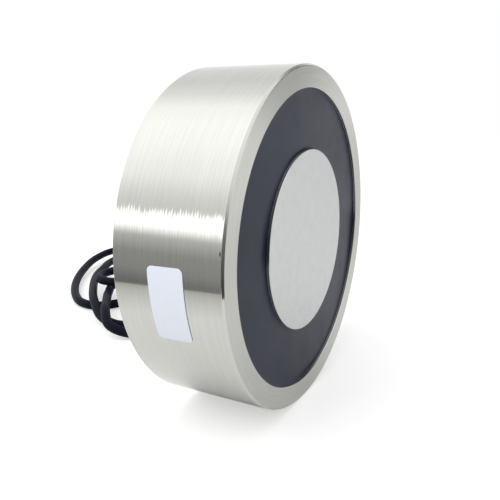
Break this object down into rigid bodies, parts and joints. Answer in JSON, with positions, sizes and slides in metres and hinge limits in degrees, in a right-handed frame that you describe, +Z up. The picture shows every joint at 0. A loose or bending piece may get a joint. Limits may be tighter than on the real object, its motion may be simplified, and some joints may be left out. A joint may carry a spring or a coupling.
{
  "type": "holding electromagnet",
  "caption": "Round pot-shaped holding electromagnet of nickel-plated steel with a potted coil, a flat pole face, a tapped mounting hole and a loose cable with bare ends.",
  "frame": {"origin": "under the middle of the pot, on the surface that it lies on with its curved side", "axes": "+Z up; the magnet's axis runs along Y, with the pole face looking along -Y and the mounting face along +Y; the cable leaves the wall to the right and below, and lies on the surface behind the magnet"},
  "size_m": [0.2227, 0.2042, 0.1199],
  "materials": {
    "nickel_plated_steel": "bright nickel plating over fine turning marks",
    "white_nylon": "moulded, satin",
    "enamelled_copper": "enamelled copper wire",
    "polyester_tape": "glossy film",
    "black_potting_resin": "cast epoxy, satin",
    "black_rubber": "moulded, matt",
    "black_cable_jacket": "extruded, satin",
    "red_core_insulation": "extruded PVC",
    "black_core_insulation": "extruded PVC",
    "tinned_copper": "solder-dipped strands",
    "heat_shrink_sleeve": "shrunk tubing",
    "white_label_film": "blank printed-label stock, satin"
  },
  "bodies": {
    "root": {"pot_body": "nickel_plated_steel", "coil_bobbin": "white_nylon", "coil_winding": "enamelled_copper", "winding_tape": "polyester_tape", "potting_resin": "black_potting_resin", "cable_boot": "black_rubber", "cable_jacket": "black_cable_jacket", "tail_core_a": "red_core_insulation", "tail_core_b": "black_core_insulation", "tail_tip_a": "tinned_copper", "tail_tip_b": "tinned_copper", "inner_core_a": "red_core_insulation", "inner_core_b": "black_core_insulation", "splice_sleeve_start": "heat_shrink_sleeve", "splice_sleeve_finish": "heat_shrink_sleeve", "start_wire_tail": "enamelled_copper", "finish_wire_tail": "enamelled_copper", "rating_label": "white_label_film"}
  },
  "joints": []
}
